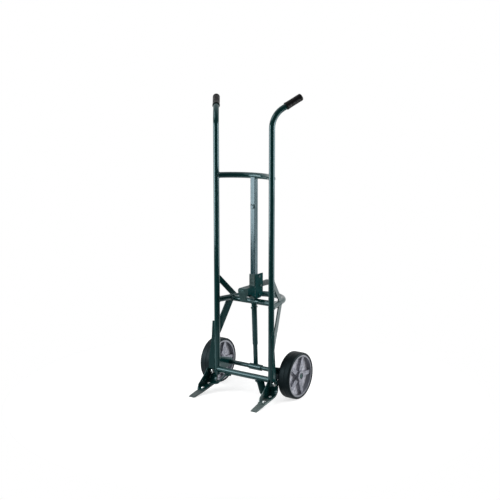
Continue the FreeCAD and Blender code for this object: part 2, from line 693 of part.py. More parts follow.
def cut_toe_holes(piece):
    """Clear the heel bolt, the toe bolts and the rail out of a toe piece."""
    piece = piece.cut(heel_bolt_hole).cut(rails_clear)
    for place in toe_bolt_places():
        reach = toe_up * TOE_BEND_R
        piece = piece.cut(rod(place - reach, place + reach, (TOE_BOLT_D + BOLT_GAP) / 2))
    return piece


def toe_bend(depth):
    """Arc of the heel bend at a distance from its centre, from the upright to the foot."""
    return Part.Arc(on_bend(depth, 0), on_bend(depth, heel_turn / 2), on_bend(depth, heel_turn)).toShape()


def make_wing():
    """Plate welded up the outside of the rail, swept forward to meet the drum's side."""
    sweep = radians(WING_SWEEP_DEG)
    along = V(cos(sweep), -sin(sweep), 0)
    outline = [(0, WING_LOW_Z), (WING_WIDE, WING_LOW_Z), (WING_WIDE, WING_WIDE_Z), (WING_NECK, WING_NECK_Z)]
    outline += [(WING_TOP, WING_TOP_Z), (0, WING_TOP_Z)]
    points = [V(RAIL_X, 0, z) + along * out for out, z in outline]
    return plate(points, along.cross(AXIS_Z), SHOE_T)


def make_toe_shoe():
    """Plate behind the load's foot: upright beside the rail, bent forward into the toe."""
    inside = TOE_BEND_R - SHOE_T
    top = V(RAIL_X, -SHOE_BACK, SHOE_TOP_Z)
    front = (TOE_CENTRE_Y + TOE_BEND_R * sin(TOE_SLOPE) + SHOE_REACH) / cos(TOE_SLOPE)
    edges = polyline([top, on_bend(TOE_BEND_R, 0)]) + [toe_bend(TOE_BEND_R)]
    foot = [on_toe(TOE_BEND_R, 0), on_toe(TOE_BEND_R, front), on_toe(inside, front), on_toe(inside, 0)]
    edges += polyline(foot) + [toe_bend(inside)]
    edges += polyline([on_bend(inside, 0), top - AXIS_Y * SHOE_T, top])
    shoe = Part.Face(Part.Wire(edges)).extrude(V(TOE_WIDTH, 0, 0))
    outline = [V(RAIL_X, 0, 0), V(RAIL_X + TOE_WIDTH, 0, 0), V(RAIL_X + TOE_WIDTH, 0, SHOE_SHOULDER_Z)]
    outline += [V(RAIL_X + SHOE_TOP_WIDTH, 0, SHOE_TOP_Z), V(RAIL_X, 0, SHOE_TOP_Z)]
    shoe = shoe.common(plate(outline, AXIS_Y, 2 * TOE_REACH)).fuse(make_wing())
    return cut_toe_holes(shoe).removeSplitter()


def make_toe_prong():
    """Blade under the shoe, turned up behind it and ground to a chisel at the tip."""
    inside = TOE_BEND_R + SEAT_GAP
    outside = TOE_BEND_R + PRONG_T
    tip_y = -TOE_REACH
    to_bevel = (TOE_CENTRE_Y + inside * sin(TOE_SLOPE) + TOE_REACH - PRONG_BEVEL) / cos(TOE_SLOPE)
    upright = [V(RAIL_X, TOE_CENTRE_Y + depth, PRONG_TOP_Z) for depth in (inside, outside)]
    edges = polyline([upright[0], on_bend(inside, 0)]) + [toe_bend(inside)]
    blade = [on_toe(inside, 0), on_toe(inside, to_bevel), V(RAIL_X, tip_y, PRONG_TIP_T), V(RAIL_X, tip_y, 0)]
    blade += [V(RAIL_X, tip_y + TOE_LAND, 0), on_toe(outside, 0)]
    edges += polyline(blade) + [toe_bend(outside)] + polyline([on_bend(outside, 0), upright[1], upright[0]])
    prong = Part.Face(Part.Wire(edges)).extrude(V(TOE_WIDTH, 0, 0))
    inner_tip = V(RAIL_X + PRONG_TIP_TAPER, tip_y, 0)
    outline = [inner_tip, V(RAIL_X + TOE_WIDTH, tip_y, 0), V(RAIL_X + TOE_WIDTH, TOE_REACH, 0)]
    outline += [V(RAIL_X, TOE_REACH, 0), V(RAIL_X, -SHOE_REACH, 0)]
    return cut_toe_holes(prong.common(plate(outline, AXIS_Z, 2 * TOE_REACH)))


def make_toe_gusset(shoe, prong):
    """Bent strap from under the bottom crossbar, forward and outward to the shoe's foot."""
    turn = radians(GUSSET_TURN_DEG)
    out = V(cos(turn), -sin(turn), 0)
    side = V(sin(turn), cos(turn), 0)
    start = V(RAIL_X - GUSSET_X, 0, BOTTOM_BAR_Z - TUBE_R - WELD_GAP - GUSSET_T / 2)
    length = (GUSSET_X + GUSSET_LAP) / cos(turn)
    foot_y = start.y + out.y * length
    foot_z = on_toe(TOE_BEND_R - SHOE_T, 0).z + tan(TOE_SLOPE) * (foot_y - TOE_CENTRE_Y) + GUSSET_T / 2
    foot = start + out * length
    foot.z = foot_z
    knee = start + out * (length - GUSSET_WIDTH)
    knee.z = foot_z + GUSSET_T
    points = [start - out * TUBE_R, start + out * TUBE_R, knee, foot + out * GUSSET_WIDTH]
    strap = flat_sweep(bent_path(points, GUSSET_BEND_R), side, GUSSET_WIDTH, GUSSET_T)
    beyond = Part.makeBox(TOE_REACH, 2 * TOE_REACH, TOE_REACH, V(RAIL_X + GUSSET_LAP, -TOE_REACH, 0))
    return strap.cut(beyond).cut(shoe).cut(prong)


def make_heel_bolt():
    front = heel_bolt_at - AXIS_Y * SHOE_T
    back = heel_bolt_at + AXIS_Y * (PRONG_T + HEEL_BOLT_D)
    washer = rod(front - AXIS_Y * HEEL_WASHER_T, front, HEEL_WASHER_D / 2)
    head_at = front - AXIS_Y * HEEL_WASHER_T
    head = hexagon(head_at, AXIS_Y * -1, HEEL_BOLT_D * HEX_FLATS, HEEL_BOLT_D * HEX_HEIGHT)
    return rod(head_at, back, HEEL_BOLT_D / 2).fuse(head).fuse(washer).removeSplitter()


def make_heel_nut():
    seat = heel_bolt_at + AXIS_Y * PRONG_T
    nut = hexagon(seat, AXIS_Y, HEEL_BOLT_D * HEX_FLATS, HEEL_BOLT_D * HEX_HEIGHT)
    return nut.cut(rod(seat, seat + AXIS_Y * HEEL_BOLT_D, HEEL_BOLT_D / 2 + SEAT_GAP))


def make_toe_bolt(place):
    """Round-headed bolt from the top of the shoe down through the prong."""
    seat = place + toe_up * SHOE_T
    head_r = TOE_BOLT_HEAD_D / 2
    ball_r = (head_r ** 2 + TOE_BOLT_HEAD ** 2) / (2 * TOE_BOLT_HEAD)
    ball = Part.makeSphere(ball_r, seat + toe_up * (TOE_BOLT_HEAD - ball_r))
    head = ball.common(rod(seat, seat + toe_up * TOE_BOLT_D, head_r))
    end = place - toe_up * (PRONG_T + TOE_BOLT_D * HEX_HEIGHT)
    return head.fuse(rod(end, seat, TOE_BOLT_D / 2)).removeSplitter()


def make_toe_nut(place):
    seat = place - toe_up * PRONG_T
    down = toe_up * -1
    nut = hexagon(seat, down, TOE_BOLT_D * HEX_FLATS, TOE_BOLT_D * HEX_HEIGHT)
    return nut.cut(rod(seat, seat + down * TOE_BOLT_D, TOE_BOLT_D / 2 + SEAT_GAP))


os.makedirs("parts", exist_ok=True)

# Frame
save_pair("rail", make_rail())
save_pair("grip", make_grip())
save("upper_crossbar", make_upper_crossbar())
save("bottom_crossbar", make_bottom_crossbar())
save("rear_hoop", make_rear_hoop())
save("hoop_crossbar", make_hoop_crossbar())
save_pair("upper_brace", make_upper_brace())
save_pair("lower_brace", make_lower_brace())
save("slide_bar", make_slide_bar())
save("slide_stop", make_slide_stop())
save("strut_tube", make_strut_tube())
save("strut_post", make_strut_post())
save("strut_bolt", make_strut_bolt())
save("strut_nut", make_strut_nut())

# Hook that slides on the bar
save("hook_sleeve", make_hook_sleeve())
save("chime_hook", make_chime_hook())
save("guide_pins", Part.makeCompound([headed_pin(*place) for place in guide_pin_places()]))
save("lever_pin", headed_pin(LEVER_PIN, LEVER_PIN_D))
save("lock_lever", make_lock_lever())

# Axle and wheels
save("axle", make_axle())
save("axle_tee", make_axle_tee())
save_pair("axle_bracket", make_axle_bracket())
save_pair("axle_spacer", make_axle_spacer())
save_pair("axle_washer", make_axle_washer())
save_pair("retaining_ring", make_retaining_ring())
save_pair("tyre", make_tyre())
save_pair("wheel_centre", make_wheel_centre())
save_pair("wheel_bush", make_wheel_bush())

# Toes
toe_shoe = make_toe_shoe()
toe_prong = make_toe_prong()
save_pair("toe_shoe", toe_shoe)
save_pair("toe_prong", toe_prong)
save_pair("toe_gusset", make_toe_gusset(toe_shoe, toe_prong))
save("heel_bolts", with_mirror([make_heel_bolt()]))
save("heel_nuts", with_mirror([make_heel_nut()]))
save("toe_bolts", with_mirror([make_toe_bolt(place) for place in toe_bolt_places()]))
save("toe_nuts", with_mirror([make_toe_nut(place) for place in toe_bolt_places()]))
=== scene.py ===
from math import cos, hypot, pi, radians, sin, sqrt, tan

import bmesh
import bpy
from mathutils import Matrix, Vector


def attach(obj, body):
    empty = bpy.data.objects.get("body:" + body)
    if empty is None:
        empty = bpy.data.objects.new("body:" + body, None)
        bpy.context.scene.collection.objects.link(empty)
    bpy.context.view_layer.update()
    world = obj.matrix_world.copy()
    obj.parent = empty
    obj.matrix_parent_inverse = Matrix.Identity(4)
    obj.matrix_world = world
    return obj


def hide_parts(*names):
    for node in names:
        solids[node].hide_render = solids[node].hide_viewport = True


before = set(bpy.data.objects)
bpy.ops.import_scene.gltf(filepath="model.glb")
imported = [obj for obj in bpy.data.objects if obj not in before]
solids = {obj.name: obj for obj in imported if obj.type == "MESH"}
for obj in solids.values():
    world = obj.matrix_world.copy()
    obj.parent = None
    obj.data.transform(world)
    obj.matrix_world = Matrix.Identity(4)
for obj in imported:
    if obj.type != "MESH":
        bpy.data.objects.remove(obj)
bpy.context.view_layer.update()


# Rails: two upright steel tubes, bent back and outward at the top into handles.
# The whole frame is welded up and then coated in glossy dark green enamel, which
# levels into a faint orange peel, gathers dust in places and chips where it is knocked.
class Value:
    """One output of a tree's nodes, on which sums can be written."""

    def __init__(self, owner, socket):
        self.owner = owner
        self.socket = socket

    def __add__(self, other):
        return self.owner.maths("ADD", self, other)

    def __sub__(self, other):
        return self.owner.maths("SUBTRACT", self, other)

    def __rsub__(self, other):
        return self.owner.maths("SUBTRACT", other, self)

    def __mul__(self, other):
        return self.owner.maths("MULTIPLY", self, other)

    def __truediv__(self, other):
        return self.owner.maths("DIVIDE", self, other)

    def __rtruediv__(self, other):
        return self.owner.maths("DIVIDE", other, self)

    def __gt__(self, other):
        return self.owner.maths("GREATER_THAN", self, other)

    def __lt__(self, other):
        return self.owner.maths("LESS_THAN", self, other)

    def __abs__(self):
        return self.owner.maths("ABSOLUTE", self)

    __radd__ = __add__
    __rmul__ = __mul__


class Nodes:
    """A tree of nodes, which are added a call at a time."""

    def __init__(self, tree):
        self.tree = tree

    def feed(self, node, sockets):
        """Set a node's sockets, each by a plain value or by a link."""
        for key, value in sockets.items():
            if isinstance(value, Value):
                self.tree.links.new(value.socket, node.inputs[key])
            else:
                node.inputs[key].default_value = value

    def add(self, kind, settings, sockets, output=0):
        """A node of a kind, with its settings and its sockets, read at one of its outputs."""
        node = self.tree.nodes.new(kind)
        for name, value in settings.items():
            setattr(node, name, value)
        self.feed(node, sockets)
        return Value(self, node.outputs[output]) if node.outputs else None

    def maths(self, operation, *terms):
        return self.add("ShaderNodeMath", {"operation": operation}, dict(enumerate(terms)))

    def vector(self, operation, first, second, output=0):
        terms = {0: first, 1: second}
        return self.add("ShaderNodeVectorMath", {"operation": operation}, terms, output)

    def steps(self, value, low, high):
        """A value stretched so that low becomes 0 and high becomes 1."""
        sockets = {"Value": value, "From Min": low, "From Max": high}
        return self.add("ShaderNodeMapRange", {}, sockets)

    def mix(self, share, first, second):
        """Two colours mixed by a share."""
        return self.add("ShaderNodeMix", {"data_type": "RGBA"}, {0: share, 6: first, 7: second}, 2)


class Finish(Nodes):
    """A surface finish: one shader, and the nodes that feed it."""

    def __init__(self, name, constants):
        self.material = bpy.data.materials.new(name)
        self.material.use_nodes = True
        super().__init__(self.material.node_tree)
        self.shader = self.tree.nodes["Principled BSDF"]
        self.feed(self.shader, constants)
        self.place = self.add("ShaderNodeTexCoord", {}, {}, "Object")

    def along(self, axis):
        """How far along one axis a place on the piece is."""
        return self.add("ShaderNodeSeparateXYZ", {}, {0: self.place}, axis)

    def noise(self, scale, detail, place=None):
        sockets = {"Vector": place or self.place, "Scale": scale, "Detail": detail}
        return self.add("ShaderNodeTexNoise", {}, sockets)

    def bump(self, height, distance):
        return self.add("ShaderNodeBump", {}, {"Height": height, "Distance": distance})

    def finish(self, **sockets):
        """Feed the shader's sockets, in whose names _ stands for a space."""
        self.feed(self.shader, {name.replace("_", " "): value for name, value in sockets.items()})


def dress(finish, *names):
    """Give solids of the trolley their finish."""
    for name in names:
        materials = solids[name].data.materials
        materials.clear()
        materials.append(finish.material)


ENAMEL_DEEP = (0.0016, 0.0200, 0.0200, 1)
ENAMEL_THIN = (0.0032, 0.0300, 0.0290, 1)
ENAMEL_DUST = (0.0400, 0.0620, 0.0610, 1)
ENAMEL_SHEEN = (0.62, 0.93, 1.0, 1)
# The pale steel colour of chipped and worn spots, also painted on the right shoe's front as light.
BARE_STEEL_AND_PAINTED_LIGHT = (0.125, 0.160, 0.156, 1)


def enamelled(name, gloss, chips, rubbed=None, tones=(ENAMEL_DEEP, ENAMEL_THIN), clouds=7.0):
    """Green enamel of some gloss, in two tones that cloud into each other.

    chips is how far knocks have worn through to the steel, rubbed gives where wear has done so
    and where the pale steel colour is painted light, and clouds is how many clouds there are
    to a metre.
    """
    coat = Finish(name, {"IOR": 1.5, "Specular IOR Level": gloss, "Specular Tint": ENAMEL_SHEEN})
    cloud = coat.noise(clouds, detail=3.0)
    peel = coat.noise(scale=420.0, detail=1.0)
    dust = coat.steps(coat.noise(scale=38.0, detail=5.0), low=0.50, high=0.80)
    knocks = coat.noise(scale=95.0, detail=6.0)
    chipped = coat.steps(knocks, low=0.74 - chips, high=0.76 - chips)
    # Chips, wear and the right shoe's painted light are all shown as steel here.
    bare_and_painted_light = coat.maths("MAXIMUM", chipped, rubbed(coat)) if rubbed else chipped
    green = coat.mix(cloud, *tones)
    dusty = coat.mix(dust * 0.06, green, ENAMEL_DUST)
    coat.finish(
        Base_Color=coat.mix(bare_and_painted_light, dusty, BARE_STEEL_AND_PAINTED_LIGHT),
        Metallic=bare_and_painted_light * 0.7,
        Roughness=0.13 + dust * 0.05 + cloud * 0.03 + bare_and_painted_light * 0.22,
        Normal=coat.bump(peel * 0.10 - chipped, distance=0.00008),
    )
    return coat


RAIL_X = 0.1788
RAIL_Y = -0.0425
TUBE_R = 0.016
enamel = enamelled("green_enamel", gloss=0.5, chips=0.0)
dress(enamel, "left_rail", "right_rail")

# Crossbars and rear hoop: lengths of the same tube, coped and welded between the rails.
# The upper bar is bowed back to cradle the drum, and the hoop behind carries the load
# when the trolley is laid back.
SIDES = {"left": -1, "right": 1}
UP = Vector((0, 0, 1))
BOTTOM_BAR_Z = 0.1135
UPPER_BAR_Z = 1.190
UPPER_BAR_TURN = radians(57.454)
HOOP_Z = 0.508
HOOP_LEAN = radians(15.008)
HOOP_TURN = pi / 2 - HOOP_LEAN
HOOP_BAR_Y = 0.0555
HOOP_BAR_Z = 0.504
ROUND_STEPS = 48
ROUND_LAP = 0.4
dress(enamel, "upper_crossbar", "bottom_crossbar", "rear_hoop", "hoop_crossbar")
frame_seams = []
round_turns = [(2 * pi + ROUND_LAP) * k / ROUND_STEPS for k in range(ROUND_STEPS + 1)]


def level(side, turn):
    """Level direction from a rail towards the middle, turned back by an angle."""
    return Vector((-side * cos(turn), sin(turn), 0))


def coped_seam(axis, along):
    """Line where a tube's coped end meets a rail's side, a little more than once round."""
    across = along.cross(UP)
    seam = []
    for turn in round_turns:
        off = TUBE_R * cos(turn)
        rise = UP * (TUBE_R * sin(turn))
        seam.append(axis + along * sqrt(TUBE_R ** 2 - off ** 2) + across * off + rise)
    return seam


def hoop_bar_seam(side):
    """Line where the hoop's crossbar meets the hoop's leg."""
    seam = []
    for turn in round_turns:
        y = HOOP_BAR_Y + TUBE_R * cos(turn)
        z = HOOP_BAR_Z + TUBE_R * sin(turn)
        reach = sqrt(max(0, TUBE_R ** 2 - (z - HOOP_Z) ** 2))
        x = RAIL_X - (reach + (y - RAIL_Y) * sin(HOOP_LEAN)) / cos(HOOP_LEAN)
        seam.append(Vector((side * x, y, z)))
    return seam


for side in SIDES.values():
    for z, turn in ((BOTTOM_BAR_Z, 0), (UPPER_BAR_Z, UPPER_BAR_TURN), (HOOP_Z, HOOP_TURN)):
        frame_seams.append(coped_seam(Vector((side * RAIL_X, RAIL_Y, z)), level(side, turn)))
    frame_seams.append(hoop_bar_seam(side))


# Braces: flat bars sheared to length and set on edge between each rail and the hoop's leg.
# They are coped to both tubes and welded along both faces.
def settle(piece):
    """Turn what a piece's modifiers make into its own plain mesh."""
    bpy.context.view_layer.update()
    ready = piece.evaluated_get(bpy.context.evaluated_depsgraph_get())
    mesh = bpy.data.meshes.new_from_object(ready)
    piece.modifiers.clear()
    piece.data = mesh


def new_piece(name, mesh):
    piece = bpy.data.objects.new(name, mesh)
    bpy.context.scene.collection.objects.link(piece)
    return piece


def stand_in(piece, finish, body, name):
    """Show a piece in a solid's place, in a finish."""
    piece.data.materials.clear()
    piece.data.materials.append(finish.material)
    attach(piece, body)
    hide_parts(name)


SHARP_TURN = radians(35)
FLAT_TURN = radians(0.5)
SAME_POINT = 0.000002


def round_over(piece, edge):
    """Round a piece's sharp edges over."""
    piece.data.shade_smooth()
    rounding = piece.modifiers.new("rounding", "BEVEL")
    rounding.width = edge
    rounding.segments = 2
    rounding.limit_method = "ANGLE"
    rounding.angle_limit = SHARP_TURN
    piece.modifiers.new("flats", "WEIGHTED_NORMAL")
    settle(piece)


def eased(name, edge, finish, body):
    """Show a solid with its sharp edges rounded over."""
    piece = new_piece(name + "_eased", solids[name].data.copy())
    shape = bmesh.new()
    shape.from_mesh(piece.data)
    bmesh.ops.remove_doubles(shape, verts=shape.verts, dist=SAME_POINT)
    bmesh.ops.dissolve_limit(shape, angle_limit=FLAT_TURN, verts=shape.verts, edges=shape.edges)
    shape.to_mesh(piece.data)
    shape.free()
    round_over(piece, edge)
    stand_in(piece, finish, body, name)


# Each brace's rise at the rail, reach along the hoop, width, and how far out it is set.
BRACES = {
    "upper_brace": (0.137, 0.137, 0.031, 0.009),
    "lower_brace": (-0.202, 0.110, 0.046, 0.0125),
}
BRACE_HALF = 0.003
SHEARED_EDGE = 0.0008
for side_name, side in SIDES.items():
    leg = level(side, HOOP_TURN)
    beside = Vector((side * cos(HOOP_LEAN), sin(HOOP_LEAN), 0))
    foot = Vector((side * RAIL_X, RAIL_Y, HOOP_Z))
    for brace, (rise, reach, width, out) in BRACES.items():
        eased(side_name + "_" + brace, SHEARED_EDGE, enamel, "frame")
        slope = -rise / reach
        half_high = width / 2 * hypot(slope, 1)
        ends = (rise - half_high, rise + half_high)
        for face in (out - BRACE_HALF, out + BRACE_HALF):
            off = sqrt(TUBE_R ** 2 - face ** 2)
            onto = off if rise > 0 else -off
            start = foot + beside * face
            frame_seams.append([start + leg * off + UP * (end + slope * off) for end in ends])
            frame_seams.append([start + leg * ((onto - end) / slope) + UP * onto for end in ends])

# Slide bar: square steel tube that the chime hook rides on, with a stop welded on its face.
# Both are enamelled like the frame, and the hook has rubbed long dull streaks down the bar.
BAR_DEEP = (0.008, 0.034, 0.040, 1)
BAR_RUBBED = (0.026, 0.060, 0.070, 1)
BAR_SHEEN = (0.68, 0.90, 1.0, 1)
STREAK_SCALE = (1, 1, 0.02)
bar_enamel = Finish("rubbed_enamel", {"IOR": 1.55, "Specular Tint": BAR_SHEEN})
streak_sockets = {"Vector": bar_enamel.place, "Scale": STREAK_SCALE}
drawn_out = bar_enamel.add("ShaderNodeMapping", {}, streak_sockets)
streak = bar_enamel.noise(scale=160.0, detail=3.0, place=drawn_out)
streak = bar_enamel.steps(streak, low=0.35, high=0.7)
bar_enamel.finish(
    Base_Color=bar_enamel.mix(streak, BAR_DEEP, BAR_RUBBED),
    Roughness=0.14 + streak * 0.12,
    Normal=bar_enamel.bump(streak, distance=0.00003),
)
STOP_EDGE = 0.0007
dress(bar_enamel, "slide_bar")
eased("slide_stop", STOP_EDGE, bar_enamel, "frame")
BAR_HALF = 0.015
BAR_CORNER = 0.012
BAR_SIDE_WELD = 0.009
for toward in (-1, 1):
    outline = [(-BAR_HALF, BAR_SIDE_WELD), (-BAR_HALF, BAR_CORNER), (-BAR_CORNER, BAR_HALF)]
    outline += [(-x, y) for x, y in reversed(outline)]
    drops = [sqrt(TUBE_R ** 2 - y ** 2) for x, y in outline]
    spots = [Vector((x, HOOP_BAR_Y + toward * y, 0)) for x, y in outline]
    frame_seams.append([spot + UP * (HOOP_BAR_Z + drop) for spot, drop in zip(spots, drops)])
    frame_seams.append([spot + UP * (UPPER_BAR_Z - drop) for spot, drop in zip(spots, drops)])


def three_sided_seam(y, half, low, high):
    """Line up one side of an upright face, over its top and down its other side."""
    corners = ((-half, low), (-half, high), (half, high), (half, low))
    return [Vector((x, y, z)) for x, z in corners]


STOP_HALF = 0.010
STOP_Z = (1.0155, 1.033)
frame_seams.append(three_sided_seam(HOOP_BAR_Y - BAR_HALF, STOP_HALF, *STOP_Z))

# Strut: a tube welded under the hoop's crossbar, with a solid post let into it.
# A bolt through both holds the length, and the post's foot is welded to the axle tee.
AXLE_Y = 0.07415
AXLE_Z = 0.127
TEE_R = 0.0175
STRUT_R = 0.015
POST_R = 0.0125
dress(enamel, "strut_tube", "strut_post")
strut_seam = []
post_seam = []
for turn in round_turns:
    under = sqrt(TUBE_R ** 2 - (STRUT_R * sin(turn)) ** 2)
    over = sqrt(TEE_R ** 2 - (POST_R * sin(turn)) ** 2)
    strut_y = HOOP_BAR_Y + STRUT_R * sin(turn)
    strut_seam.append(Vector((STRUT_R * cos(turn), strut_y, HOOP_BAR_Z - under)))
    post_seam.append(Vector((POST_R * cos(turn), AXLE_Y + POST_R * sin(turn), AXLE_Z + over)))
frame_seams += [strut_seam, post_seam]
TURNED_STEPS = 48


def turned(outline, steps=TURNED_STEPS):
    """Mesh of a turned shape: rings of (radius, height), either of which may follow the turn."""
    shape = bmesh.new()
    rings = []
    for radius, height in outline:
        if radius == 0:
            rings.append([shape.verts.new((0, 0, height))] * steps)
            continue
        ring = []
        for k in range(steps):
            turn = 2 * pi * k / steps
            r = radius(turn) if callable(radius) else radius
            z = height(turn) if callable(height) else height
            ring.append(shape.verts.new((r * cos(turn), r * sin(turn), z)))
        rings.append(ring)
    following = rings[1:] if outline[0][0] == 0 else rings[1:] + rings[:1]
    for low, high in zip(rings, following):
        for k in range(steps):
            corners = [low[k - 1], low[k], high[k], high[k - 1]]
            shape.faces.new(list(dict.fromkeys(corners)))
    bmesh.ops.recalc_face_normals(shape, faces=shape.faces)
    mesh = bpy.data.meshes.new("turned")
    shape.to_mesh(mesh)
    shape.free()
    return mesh


def crisp(mesh, crease):
    """Shade a mesh smooth, apart from its edges that turn by more than a crease does."""
    mesh.shade_smooth()
    mesh.set_sharp_from_angle(angle=crease)


HEX_FLATS = 1.5
HEX_HEIGHT = 0.62
HEX_CROWN = 0.95
HEX_CREASE = radians(32)
NUT_PLAY = 0.0001
THREAD_PITCH = 0.0014
THREAD_ROOT = 0.87
THREAD_END = 0.8


def hex_rings(bolt_d, seat):
    """Rings of a hexagon head or nut on a seat, its corners turned off at 30 degrees."""
    flat = bolt_d * HEX_FLATS / 2
    crown = flat * HEX_CROWN
    top = seat + bolt_d * HEX_HEIGHT

    def corner(turn):
        return flat / cos((turn + pi / 6) % (pi / 3) - pi / 6)

    def shoulder(turn):
        return top - max(0, corner(turn) - crown) * tan(pi / 6)

    return [(corner, seat), (corner, shoulder), (crown, top)]


def threaded_rings(bolt_d, end, start):
    """Rings of a bolt's shank below its head, with a rolled thread up to start."""
    crest = bolt_d / 2
    rings = [(0, end), (crest * THREAD_END, end)]
    for k in range(round((start - end) / THREAD_PITCH)):
        rings.append((crest, end + (k + 0.5) * THREAD_PITCH))
        rings.append((crest * THREAD_ROOT, end + (k + 1) * THREAD_PITCH))
    return rings + [(crest, start + THREAD_PITCH), (crest, 0)]


def hex_nut(bolt_d):
    bore = bolt_d / 2 + NUT_PLAY
    return turned([(bore, 0)] + hex_rings(bolt_d, 0) + [(bore, bolt_d * HEX_HEIGHT)])


def tree_inputs(owner, **kinds):
    """Name a tree's inputs, and give each one's identifier and its value inside the tree."""
    ids = {}
    for label, kind in kinds.items():
        socket = owner.tree.interface.new_socket(label, in_out="INPUT", socket_type=kind)
        ids[label] = socket.identifier
    return ids, {label: owner.add("NodeGroupInput", {}, {}, label) for label in kinds}


def tree_output(owner, shape, finish):
    """End a tree in real faces, in one finish."""
    owner.tree.interface.new_socket("Shape", in_out="OUTPUT", socket_type="NodeSocketGeometry")
    real = owner.add("GeometryNodeRealizeInstances", {}, {"Geometry": shape})
    dressed = owner.add("GeometryNodeSetMaterial", {}, {"Geometry": real, "Material": finish})
    owner.add("NodeGroupOutput", {}, {"Shape": dressed})


setting = Nodes(bpy.data.node_groups.new("set_fasteners", "GeometryNodeTree"))
setting_ids, given = tree_inputs(
    setting, Places="NodeSocketGeometry", Fastener="NodeSocketObject", Finish="NodeSocketMaterial"
)
aim = setting.add("GeometryNodeInputNamedAttribute", {"data_type": "FLOAT_VECTOR"}, {"Name": "aim"})
facing = setting.add("FunctionNodeAlignRotationToVector", {"axis": "Z"}, {"Vector": aim})
part = setting.add("GeometryNodeObjectInfo", {}, {"Object": given["Fastener"]}, "Geometry")
set_sockets = {"Points": given["Places"], "Instance": part, "Rotation": facing}
set_out = setting.add("GeometryNodeInstanceOnPoints", {}, set_sockets)
tree_output(setting, set_out, given["Finish"])


def fasten(name, mesh, places, finish):
    """Set like fasteners at (seat, aim) places, as one mesh that stands for the solids."""
    fastener = bpy.data.objects.new("fastener", mesh)
    spots = bpy.data.meshes.new(name + "_made")
    spots.from_pydata([seat for seat, toward in places], [], [])
    aims = spots.attributes.new("aim", "FLOAT_VECTOR", "POINT")
    for spot, (seat, toward) in zip(aims.data, places):
        spot.vector = toward
    piece = new_piece(name + "_made", spots)
    setter = piece.modifiers.new("setting", "NODES")
    setter.node_group = setting.tree
    setter[setting_ids["Fastener"]] = fastener
    setter[setting_ids["Finish"]] = finish.material
    settle(piece)
    bpy.data.objects.remove(fastener)
    crisp(piece.data, HEX_CREASE)
    stand_in(piece, finish, "frame", name)


FRONT = Vector((0, -1, 0))
STRUT_BOLT_D = 0.010
STRUT_BOLT_Z = 0.470
STRUT_BOLT_Y = (0.04157, 0.07279)
STRUT_BOLT_END = -0.0406
STRUT_THREAD = -0.028
strut_bolt_rings = threaded_rings(STRUT_BOLT_D, STRUT_BOLT_END, STRUT_THREAD)
strut_bolt_rings += hex_rings(STRUT_BOLT_D, 0) + [(0, STRUT_BOLT_D * HEX_HEIGHT)]
head_seat, nut_seat = [Vector((0, y, STRUT_BOLT_Z)) for y in STRUT_BOLT_Y]
fasten("strut_bolt", turned(strut_bolt_rings), [(head_seat, FRONT)], enamel)
fasten("strut_nut", hex_nut(STRUT_BOLT_D), [(nut_seat, -FRONT)], enamel)

# Chime hook: a folded steel sleeve on the slide bar, with a welded claw for the drum's rim.
# Riveted pins behind the bar keep it on, and an oiled steel cam lever locks its height.
HOOK_TONES = ((0.0005, 0.0090, 0.0095, 1), (0.0060, 0.0480, 0.0490, 1))
SLEEVE_FACE_Y = (0.0385, 0.0355)
LIP_Y = (-0.028, -0.036)


def front_wear_and_painted_light(coat, span, least, patchy, scale=60.0):
    """Patchy wear where drums rub, and painted light, from none at a span's first y to all at its
    second.
    """
    ramp = coat.steps(coat.along("Y"), *span)
    return ramp * (least + coat.noise(scale, detail=4.0) * patchy)


def sleeve_face_patches(coat):
    """How far the sleeve's front face is patched with the pale steel colour."""
    return front_wear_and_painted_light(coat, SLEEVE_FACE_Y, least=0.20, patchy=0.5)


def lip_wear(coat):
    """Where drums' rims have rubbed the claw's lip."""
    return front_wear_and_painted_light(coat, LIP_Y, least=0.05, patchy=0.35)


FOLDED_EDGE = 0.0009
PIN_EDGE = 0.0011
sleeve_enamel = enamelled(
    "sleeve_enamel", gloss=0.02, chips=0.0, rubbed=sleeve_face_patches, tones=HOOK_TONES, clouds=45.0
)
claw_enamel = enamelled(
    "claw_enamel", gloss=0.02, chips=0.02, rubbed=lip_wear, tones=HOOK_TONES, clouds=70.0
)
eased("hook_sleeve", FOLDED_EDGE, sleeve_enamel, "hook")
eased("chime_hook", FOLDED_EDGE, claw_enamel, "hook")
eased("guide_pins", PIN_EDGE, enamel, "hook")
eased("lever_pin", PIN_EDGE, enamel, "hook")
LEVER_DARK = (0.012, 0.018, 0.019, 1)
LEVER_WORN = (0.060, 0.076, 0.078, 1)
oiled_steel = Finish("oiled_steel", {"Metallic": 0.7})
scale_marks = oiled_steel.steps(oiled_steel.noise(scale=90.0, detail=6.0), low=0.35, high=0.75)
oiled_steel.finish(
    Base_Color=oiled_steel.mix(scale_marks, LEVER_DARK, LEVER_WORN),
    Roughness=0.34 + scale_marks * 0.2,
    Normal=oiled_steel.bump(scale_marks, distance=0.0001),
)
eased("lock_lever", FOLDED_EDGE, oiled_steel, "lever")
CLAW_WELD_X = 0.0188
CLAW_WELD_Y = 0.0360
CLAW_WELD_Z = (0.5285, 0.5933)
hook_seams = [three_sided_seam(CLAW_WELD_Y, CLAW_WELD_X, *CLAW_WELD_Z)]

# Axle: an enamelled steel shaft through the tee and the two rail brackets.
# Zinc plated washers set the wheels out, and a ring in a groove keeps each one on.
ZINC_DULL = (0.34, 0.37, 0.37, 1)
ZINC_PALE = (0.58, 0.61, 0.61, 1)
shaft_enamel = enamelled("shaft_enamel", gloss=0.35, chips=0.0)
dress(enamel, "axle_tee")
dress(shaft_enamel, "axle", "left_axle_spacer", "right_axle_spacer")
zinc = Finish("zinc_plate", {"Metallic": 1.0})
spangle = zinc.noise(scale=140.0, detail=3.0)
zinc.finish(
    Base_Color=zinc.mix(spangle, ZINC_DULL, ZINC_PALE),
    Roughness=0.24 + spangle * 0.16,
    Normal=zinc.bump(spangle, distance=0.00004),
)
